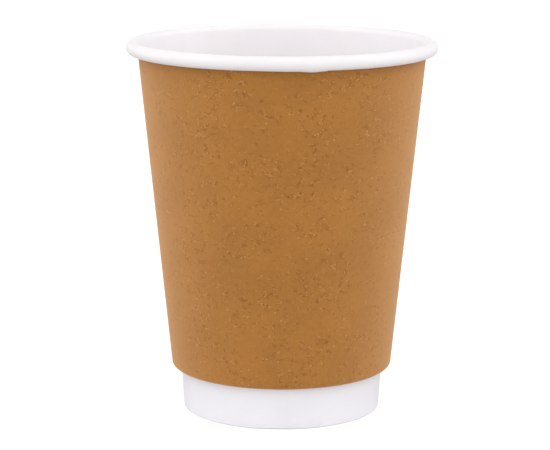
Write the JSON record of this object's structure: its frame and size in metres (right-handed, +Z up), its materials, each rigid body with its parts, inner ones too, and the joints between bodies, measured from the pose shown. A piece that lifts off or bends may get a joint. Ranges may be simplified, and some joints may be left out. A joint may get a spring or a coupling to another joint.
{
  "type": "paper coffee cup",
  "caption": "Paper cup for hot drinks with a white rolled rim and a plain brown outer sleeve, curled in at its lower edge to keep an air gap round the inner cup.",
  "frame": {"origin": "middle of the foot, on the plane of the table", "axes": "+Z up along the cup's axis, front at -Y, +X to the right as seen from the front"},
  "size_m": [0.09, 0.09, 0.1083],
  "materials": {
    "white_coated_board": "white board with a thin coating, soft satin sheen",
    "brown_kraft_board": "uncoated brown kraft board, matt, with fine light and dark fibres"
  },
  "bodies": {
    "root": {"inner_cup": "white_coated_board", "cup_bottom": "white_coated_board", "outer_sleeve": "brown_kraft_board"}
  },
  "joints": []
}
